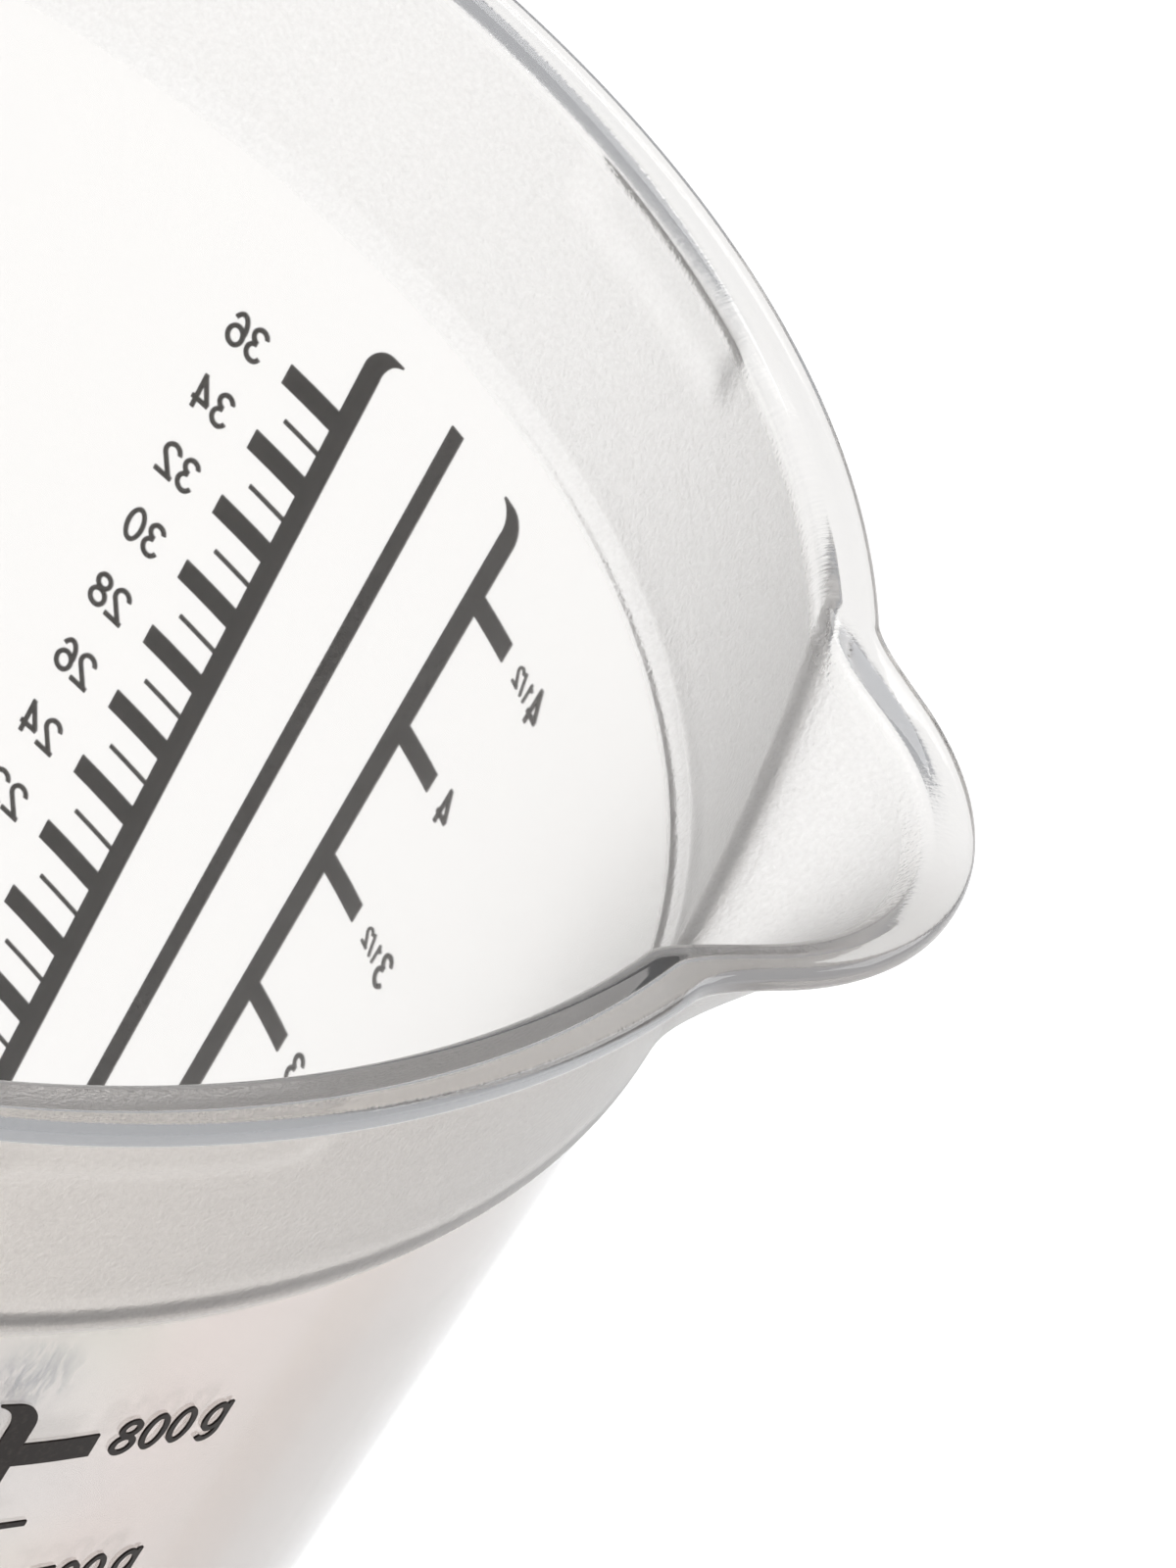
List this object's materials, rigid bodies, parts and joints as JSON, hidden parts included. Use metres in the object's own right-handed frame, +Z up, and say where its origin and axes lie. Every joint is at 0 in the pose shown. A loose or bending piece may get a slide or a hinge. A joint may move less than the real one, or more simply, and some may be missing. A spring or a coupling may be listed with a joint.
{
  "type": "resin mixing cup",
  "caption": "Clear tapered mixing and pouring cup with a wide collar, flanged rim, V spout and two pairs of printed scales for cups, ounces, millilitres and grams.",
  "frame": {"origin": "centre of the flat underside, where the cup's axis meets the surface that it stands on", "axes": "+Z up along the cup's axis, +X from the axis towards the spout"},
  "size_m": [0.1424, 0.1352, 0.1266],
  "materials": {
    "clear_plastic": "clear, glossy body below a finely textured collar",
    "ink": "flat dark brown print"
  },
  "bodies": {
    "root": {"cup_body": "clear_plastic", "kitchen_scale_divider": "ink", "cups_rail": "ink", "cups_ticks": "ink", "cups_numerals": "ink", "ounces_rail": "ink", "ounces_even_ticks": "ink", "ounces_odd_ticks": "ink", "ounces_numerals": "ink", "metric_scale_divider": "ink", "millilitres_rail": "ink", "millilitres_ticks": "ink", "millilitres_half_ticks": "ink", "millilitres_numerals": "ink", "grams_rail": "ink", "grams_ticks": "ink", "grams_half_ticks": "ink", "grams_numerals": "ink"}
  },
  "joints": []
}
